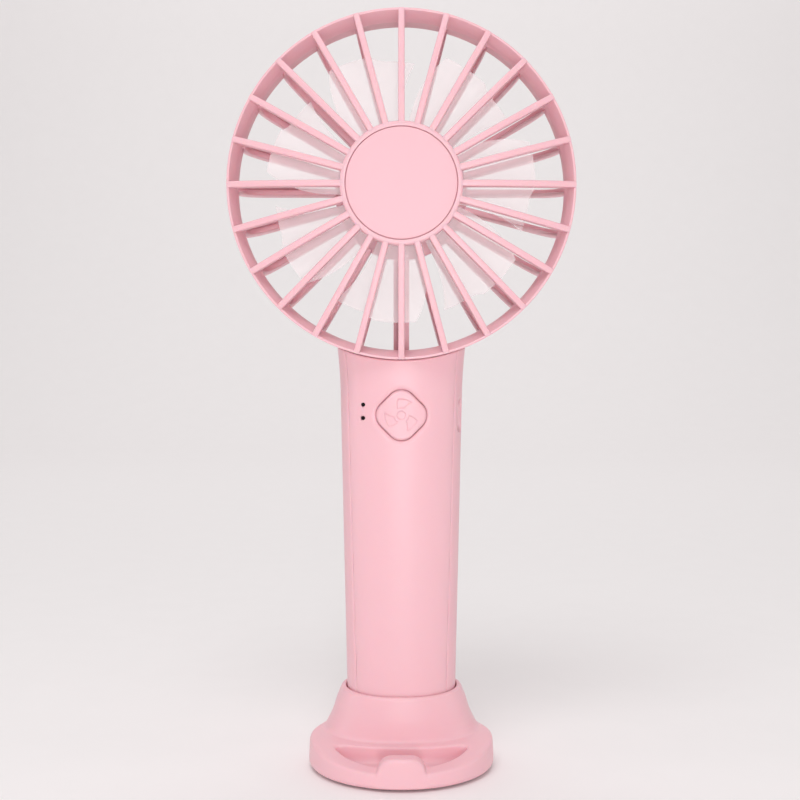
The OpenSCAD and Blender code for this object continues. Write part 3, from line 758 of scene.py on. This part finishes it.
def shell_field(x, y, z, front):
    """One half of the handle's casing, with its openings."""
    wall = sizes("handle").wall
    shoulder = shoulder_field(y, z)
    outer = soft_common(handle_field(x, y, z), shoulder, SHOULDER_ROUND)
    inner = soft_common(handle_field(x, y, z, -wall), shoulder + wall * 1.2, SHOULDER_ROUND)
    if front:
        outer = outer + button_dish(x, y, z)
    shell = with_screw_bosses(np.maximum(outer, -inner), outer, x, y, z, front)
    shell = soft_common(shell, half_cut(inner, y, front), 0.3)
    head = np.maximum(head_reach(x, z) - (HEAD_R + HEAD_GAP), y - (LIP_Y + HEAD_DEPTH + 0.1))
    shell = soft_common(shell, -head, 0.5)
    shell = soft_common(shell, CAP_LOW[2] + CAP_HEIGHT - z, 0.4)
    for opening, rounding in (front_openings if front else side_openings)(x, y, z):
        shell = soft_common(shell, -opening, rounding)
    return shell


def neck_sector(x, y, z):
    """The lowest stretch of the head's back, under the fins."""
    reach, depth = head_reach(x, z), y - LIP_Y
    skin = np.maximum(reach - (HEAD_R - 0.02), HEAD_R - NECK_WALL - reach)
    back_round = np.maximum(reach - (HEAD_R - 0.02), depth - (HEAD_DEPTH - 2.4))
    ends = np.maximum(RING_DEPTH - 1 - depth, np.abs(x) - NECK_HALF_WIDTH)
    return np.maximum(soft_common(np.maximum(skin, back_round), ends, 0.5), z - HEAD_Z)


def neck_tube(x, y, z):
    """The tube that stands in the top of the handle, cut back around the screw bosses."""
    skin, reach = -sizes("handle").wall - TUBE_GAP, head_reach(x, z)
    tube = np.maximum(handle_field(x, y, z, skin), -handle_field(x, y, z, skin - TUBE_WALL))
    tube = np.maximum(np.maximum(tube, shoulder_field(y, z) + TUBE_DROP), NECK_FOOT - z)
    tube = np.maximum(tube, HEAD_R - 0.8 - reach)
    tube = np.maximum(tube, np.where(y - LIP_Y < RIM_DEPTH + 0.1, HEAD_R + 0.15 - reach, -1.0))
    boss = np.where(y < HANDLE_Y, FRONT_BOSS_R, REAR_BOSS_R) + BOSS_CLEARANCE
    for across in (-TOP_SCREW_X, TOP_SCREW_X):
        tube = np.maximum(tube, boss - np.hypot(x - across, z - TOP_SCREW_Z))
    return tube


def neck_field(x, y, z):
    """The neck under the head's ring: the closed stretch of its back and the tube in the handle."""
    return np.minimum(neck_sector(x, y, z), neck_tube(x, y, z))


def fan_mark(x, up):
    """The outline of the button's mark: a dot and three swirled blades."""
    reach, bearing = np.hypot(x, up), np.degrees(np.arctan2(up, x))
    mark = reach - MARK_DOT_R
    for middle in MARK_BEARINGS:
        swirl = MARK_SWIRL * (reach - MARK_MIDDLE_R)
        off = np.abs((bearing - middle + swirl + 180) % 360 - 180)
        ends = np.maximum(reach - MARK_OUTER_R, MARK_INNER_R - reach)
        mark = np.minimum(mark, np.maximum(ends, reach * np.radians(off - MARK_HALF_ANGLE)))
    return mark


def key_field(x, y, z):
    """The power button: a cap that follows the handle, with its mark engraved, and its flange."""
    handle = sizes("handle")
    up = z - BUTTON_Z
    engraving = MARK_DEPTH * np.clip(0.5 - fan_mark(x, up) / 0.4, 0, 1)
    top = handle_field(x, y, z, BUTTON_PROUD) + engraving
    cap = soft_common(diamond_field(x, up, handle.button_width), top, 0.5)
    ledge = np.maximum(diamond_field(x, up, handle.button_width + LEDGE_GROWTH),
                       handle_field(x, y, z, -LEDGE_DROP))
    flange = np.maximum(diamond_field(x, up, handle.button_width + FLANGE_GROWTH, BUTTON_CORNER + 1),
                        handle_field(x, y, z, -handle.wall - 0.2))
    inside = -handle_field(x, y, z, -handle.wall - 1)
    key = np.maximum(np.minimum(np.minimum(cap, ledge), flange), inside)
    return np.maximum(key, y - HANDLE_Y)


# ---- the head, with outlines of [radius, depth] ----

def rim_outline():
    """The front guard's rim, with the collar that enters the ring."""
    r, back = HEAD_R, RIM_DEPTH
    return rounded([
        [r - 0.75, 0, 0.2], [r - 0.05, 0, 0.55], [r, back, 0.3], [r - 1.7, back, 0],
        [r - 1.7, back + 2, 0.1], [r - 2.4, back + 2, 0.2], [r - 2.7, back, 0.5], [r - 2.15, 4.2, 1.2]])


def hub_outline(hub):
    """The front hub cup, closed on the axis, with a seat for the disc."""
    return rounded([
        [0, -2.6, 0], [hub - 1.5, -2.6, 0.1], [hub - 1.5, -HUB_RISE, 0.25], [hub, -HUB_RISE, 0.9],
        [hub, 1.5, 0.4], [hub - 1.1, 1.5, 0.2], [hub - 1.1, -1.2, 0.2], [0, -1.2, 0]])


def hub_disc_outline(hub):
    """The disc on the front hub, whose face is slightly domed."""
    edge = hub - 1.62
    return rounded([
        [0, -HUB_RISE - 0.25, 0], [hub - 8, -HUB_RISE - 0.18, 0], [edge, -HUB_RISE + 0.1, 0.5],
        [edge, -2.62, 0.1], [0, -2.62, 0]], steps=8)


def front_fin_outline(hub):
    """A front fin: its front edge rises in a dome from the lip to the hub."""
    edge = HEAD_R - 0.1
    radii = np.linspace(hub - 0.8, edge, 14)

    def front(r):
        return 0.1 - HUB_RISE + (HUB_RISE - 0.4) * (max(r - hub, 0) / (edge - hub)) ** 2

    return [[r, front(r)] for r in radii] + [[r, front(r) + FRONT_FIN_DEPTH] for r in radii[::-1]]


def rear_fin_outline():
    """A rear fin: flat across the back, round the corner and forward along the ring."""
    r, d, root = HEAD_R, HEAD_DEPTH, REAR_HUB_R - 0.8
    return rounded([
        [root, REAR_FIN_FRONT, 0.5], [r - 3.6, REAR_FIN_FRONT, 6.0], [r - 2.8, 10.4, 0.8],
        [r - 0.6, 10.4, 0.8], [r - 0.3, d, 8.5], [root, d, 0.5]], steps=7)


def ring_outline():
    """The closed front stretch of the head's shell."""
    r, front, back = HEAD_R, RIM_DEPTH + 0.05, RING_DEPTH
    return rounded([[r - 1.6, front, 0.1], [r, front, 0.35], [r, back, 0.8], [r - 1.6, back, 0.6]])


def rear_hub_outline():
    """The hub of the rear guard, with a seat for the cover."""
    front, back = 23.4, HEAD_DEPTH - 0.05
    return rounded([
        [0, front, 0], [REAR_HUB_R, front, 0.4], [REAR_HUB_R, back, 0.5], [COVER_SEAT_R, back, 0.3],
        [COVER_SEAT_R, 25, 0.2], [0, 25, 0]])


def rear_cover_outline():
    """The cover of the rear hub, with a fine groove around its face."""
    front, back, edge, groove = 26.4, HEAD_DEPTH, COVER_SEAT_R - 0.15, 13.0
    return rounded([
        [0, front, 0], [edge, front, 0.1], [edge, back, 0.7], [groove + 0.3, back, 0.25],
        [groove, back - 0.35, 0.1], [groove - 0.3, back, 0.25], [0, back, 0]])


def impeller_hub_outline():
    """The impeller's hub: a cup, closed at the front, that fits over the rotor."""
    front, back, outside, inside = 4.2, 19.6, 15.5, 14.1
    return rounded([
        [0, front, 0], [outside, front, 1.6], [outside, back, 0.3], [inside, back, 0.2],
        [inside, front + 1.42, 0.2], [0, front + 1.42, 0]])


def wire_channel():
    """The channel that carries the motor's leads from the rear hub down to the neck."""
    low, high = HEAD_Z - (HEAD_R - 1.2), HEAD_Z - 16
    half_width, front, back = 2.35, REAR_FIN_FRONT, REAR_FIN_FRONT + 5
    outline = [[-half_width, front], [half_width, front], [half_width, back], [-half_width, back]]
    channel = new_object("channel", plate("channel", outline, high - low, 0.3))
    channel.data.transform(Matrix.Translation(Vector((0, LIP_Y, (low + high) / 2)) * MM))
    return channel


def blade_point(u, v, side):
    """A point of a blade's skin: u from root to tip, v from front to back edge, side -1 or 1."""
    reach = BLADE_ROOT + u * (sizes("head").blade_tip - BLADE_ROOT)
    if v > BLADE_STEP_AT:
        reach -= BLADE_STEP * u * min(1, (v - BLADE_STEP_AT) / 0.04)
    angle = math.radians((v - 0.5) * (46 - 8 * u) + 10 * u * u)
    edge = min(1, 6 * min(v, 1 - v) + 0.35) * min(1, 8 * (1 - u) + 0.35)
    front = ROTOR_FRONT - LIP_Y + 1.15
    y = front + v * BLADE_DEPTH * (1 - 0.12 * u) + side * BLADE_THICKNESS / 2 * edge
    return Vector((reach * math.cos(angle), y, -reach * math.sin(angle))) * MM


def blade_mesh(name, rows=14, cols=12):
    """One blade as a thin twisted plate with rounded edges and a stepped tip."""
    bm = bmesh.new()
    low, high = [
        [[bm.verts.new(blade_point(i / rows, j / cols, side)) for j in range(cols + 1)]
         for i in range(rows + 1)]
        for side in (-1, 1)]
    for i in range(rows):
        for j in range(cols):
            bm.faces.new([low[i][j], low[i + 1][j], low[i + 1][j + 1], low[i][j + 1]])
            bm.faces.new([high[i][j], high[i][j + 1], high[i + 1][j + 1], high[i + 1][j]])
    for i in range(rows):
        bm.faces.new([low[i][0], high[i][0], high[i + 1][0], low[i + 1][0]])
        bm.faces.new([low[i][cols], low[i + 1][cols], high[i + 1][cols], high[i][cols]])
    for j in range(cols):
        bm.faces.new([low[0][j], low[0][j + 1], high[0][j + 1], high[0][j]])
        bm.faces.new([low[rows][j], high[rows][j], high[rows][j + 1], low[rows][j + 1]])
    bmesh.ops.recalc_face_normals(bm, faces=bm.faces)
    mesh = bpy.data.meshes.new(name)
    bm.to_mesh(mesh)
    bm.free()
    smooth_by_angle(mesh, 50)
    return mesh


# ---- the stage ----

def floor_sheet(colour):
    """A plain floor that bends up into a backdrop behind the fan."""
    bend = [
        (FLOOR_BEND_Y + FLOOR_BEND_R * math.sin(t), FLOOR_BEND_R - FLOOR_BEND_R * math.cos(t))
        for t in np.linspace(0, math.pi / 2, 25)]
    line = [(FLOOR_FRONT, 0.0), *bend, (FLOOR_BEND_Y + FLOOR_BEND_R, FLOOR_TOP)]
    bm = bmesh.new()
    rows = [[bm.verts.new((x, y, z)) for x in (-FLOOR_HALF_WIDTH, FLOOR_HALF_WIDTH)] for y, z in line]
    for near, far in zip(rows, rows[1:]):
        bm.faces.new([near[0], near[1], far[1], far[0]])
    mesh = bpy.data.meshes.new("floor")
    bm.to_mesh(mesh)
    bm.free()
    mesh.shade_smooth()
    floor = new_object("floor", mesh)
    floor.data.materials.append(finish("floor_paint", colour, shade=0.98, rough=(0.7, 0.8), bump=0.0))
    return floor


def studio_light(name, place, size, power, faces):
    """A soft rectangular light that faces a point."""
    light = bpy.data.lights.new(name, "AREA")
    light.shape = "RECTANGLE"
    light.size, light.size_y = size
    light.energy = power
    lamp = new_object(name, light)
    lamp.location = place
    lamp.rotation_euler = (Vector(faces) - Vector(place)).to_track_quat("-Z", "Y").to_euler()


def front_camera():
    """The camera, in front of the fan at about half its height and looking slightly down."""
    camera = new_object("camera", bpy.data.cameras.new("camera"))
    camera.data.lens = CAMERA_LENS
    camera.location = (CAMERA_X, LIP_Y * MM - CAMERA_BEFORE_LIP, CAMERA_Z)
    camera.rotation_euler = (math.radians(90 - CAMERA_DROP), 0, 0)
    return camera


# ---- operators ----

class FANLOOKS_OT_finish_nodes(bpy.types.Operator):
    """Give every CAD node the finish of its material slot"""

    bl_idname = "fanlooks.finish_nodes"
    bl_label = "Finish CAD Nodes"

    def execute(self, context):
        finishes = slot_finishes()
        for part in frame["record"]["subparts"]:
            obj = frame["nodes"][part["node"]]
            obj.data.materials.clear()
            obj.data.materials.append(finishes[part["material_slot"]])
        return {"FINISHED"}


class FANLOOKS_OT_dock(bpy.types.Operator):
    """Mould the dock in one piece with its collar, recess and phone stop"""

    bl_idname = "fanlooks.dock"
    bl_label = "Dock"

    def execute(self, context):
        margin = 0.8
        edge = DOCK_HIGH[0] + margin
        dock = cast("dock_casing", dock_field, (-edge, -edge, DOCK_LOW[2] - margin),
                    (edge, edge, DOCK_HIGH[2] + margin), voxel=0.37)
        settle(dock, "dock", "dock_shell", pink_plastic())
        return {"FINISHED"}


class FANLOOKS_OT_handle(bpy.types.Operator):
    """Mould the two halves of the handle and the neck between them"""

    bl_idname = "fanlooks.handle"
    bl_label = "Handle"

    def execute(self, context):
        seam = HANDLE_Y - sizes("handle").seam_forward
        foot, top = CAP_LOW[2] + 1.5, HEAD_Z - 40
        # The boxes only have to hold the pieces with a little room around them
        for name, node, front, y0, y1 in (
                ("handle_front", "handle_front_shell", True, -9, HANDLE_Y + 1),
                ("handle_rear", "handle_rear_shell", False, seam - 1, 28)):
            half = cast(name, lambda x, y, z: shell_field(x, y, z, front), (-21, y0, foot),
                        (21, y1, top), voxel=0.42)
            settle(half, "handle", node, pink_plastic())
        neck = cast("neck", neck_field, (-24, -5, NECK_FOOT - 1), (24, 27, top), voxel=0.4)
        settle(neck, "handle", "head_shell", pink_plastic())
        return {"FINISHED"}


class FANLOOKS_OT_power_key(bpy.types.Operator):
    """Mould the power button with its engraved three-blade mark"""

    bl_idname = "fanlooks.power_key"
    bl_label = "Power Button"

    def execute(self, context):
        reach = sizes("handle").button_width / 2 + 1.6
        key = cast("power_key", key_field, (-reach, -7.5, BUTTON_Z - reach),
                   (reach, 0.5, BUTTON_Z + reach), voxel=0.16)
        settle(key, "power_button", "button_cap", pink_plastic())
        return {"FINISHED"}


class FANLOOKS_OT_front_guard(bpy.types.Operator):
    """Make the front guard with its rim, hub cup and fins, and the disc on its hub"""

    bl_idname = "fanlooks.front_guard"
    bl_label = "Front Guard"

    def execute(self, context):
        head = sizes("head")
        hub = head.hub_radius
        base = joined("front_guard_base", [
            turned("rim", rim_outline(), 256), turned("hub_cup", hub_outline(hub))])
        fin = plate("front_fin", front_fin_outline(hub), head.fin_width, head.fin_round)
        guard = repeated("front_guard", base, fin, head.fin_count, 0.0, pink_plastic())
        settle(guard, "handle", "front_grille")
        disc = turned("hub_disc", hub_disc_outline(hub))
        settle(disc, "handle", "hub_badge", hub_disc_plastic())
        return {"FINISHED"}


class FANLOOKS_OT_rear_guard(bpy.types.Operator):
    """Make the head's ring, rear hub, wire channel, rear fins and rear cover"""

    bl_idname = "fanlooks.rear_guard"
    bl_label = "Rear Guard"

    def execute(self, context):
        head = sizes("head")
        base = joined("rear_guard_base", [
            turned("ring", ring_outline(), 256), turned("rear_hub", rear_hub_outline()), wire_channel()])
        fin = plate("rear_fin", rear_fin_outline(), head.fin_width, head.fin_round)
        # A hair off level, because exactly level fins in this piece render black
        guard = repeated("rear_guard", base, fin, head.fin_count, 0.001, pink_plastic())
        settle(guard, "handle", "head_shell")
        cover = turned("rear_cover", rear_cover_outline())
        settle(cover, "handle", "rear_hub_cap", pink_plastic())
        return {"FINISHED"}


class FANLOOKS_OT_blades(bpy.types.Operator):
    """Make the impeller: its hub and its frosted blades"""

    bl_idname = "fanlooks.blades"
    bl_label = "Impeller"

    def execute(self, context):
        head = sizes("head")
        hub = turned("impeller_hub", impeller_hub_outline())
        fan = repeated("fan_blades", hub, blade_mesh("blade"), head.blade_count, head.blade_turn,
                       frosted_plastic_painted_glow())
        settle(fan, "rotor", "impeller")
        return {"FINISHED"}


class FANLOOKS_OT_stage(bpy.types.Operator):
    """Set up the floor, the soft studio lights and the camera"""

    bl_idname = "fanlooks.stage"
    bl_label = "Stage"

    def execute(self, context):
        scene = context.scene
        room = tuple(scene.fan_finish.room)
        floor_sheet(room)
        world = bpy.data.worlds.new("studio")
        world.use_nodes = True
        sky = world.node_tree.nodes["Background"]
        sky.inputs["Color"].default_value = (*room, 1)
        sky.inputs["Strength"].default_value = WORLD_STRENGTH
        scene.world = world
        scene.view_settings.view_transform = "Standard"
        for light in STUDIO_LIGHTS:
            studio_light(*light)
        scene.camera = front_camera()
        return {"FINISHED"}


class FANLOOKS_PT_panel(bpy.types.Panel):
    """Lists the fan's settings and the steps that make it"""

    bl_label = "Handheld Fan"
    bl_space_type = "VIEW_3D"
    bl_region_type = "UI"
    bl_category = "Fan"

    def draw(self, context):
        for key in SETTINGS:
            group = getattr(context.scene, key)
            for setting in settings_of(group):
                self.layout.prop(group, setting.identifier)
        for step in STEPS:
            self.layout.operator(step.bl_idname)


SETTINGS = {
    "fan_head": FanHeadSettings,
    "fan_handle": FanHandleSettings,
    "fan_dock": FanDockSettings,
    "fan_finish": FanFinishSettings,
}
STEPS = (
    FANLOOKS_OT_finish_nodes, FANLOOKS_OT_dock, FANLOOKS_OT_handle, FANLOOKS_OT_power_key,
    FANLOOKS_OT_front_guard, FANLOOKS_OT_rear_guard, FANLOOKS_OT_blades, FANLOOKS_OT_stage,
)


def register():
    for cls in (*SETTINGS.values(), *STEPS, FANLOOKS_PT_panel):
        bpy.utils.register_class(cls)
    for key, cls in SETTINGS.items():
        setattr(bpy.types.Scene, key, bpy.props.PointerProperty(type=cls))


def unregister():
    for key in SETTINGS:
        delattr(bpy.types.Scene, key)
    for cls in reversed((*SETTINGS.values(), *STEPS, FANLOOKS_PT_panel)):
        bpy.utils.unregister_class(cls)


def main():
    register()
    for step in STEPS:
        area, action = step.bl_idname.split(".")
        getattr(getattr(bpy.ops, area), action)()


if __name__ == "__main__":
    main()
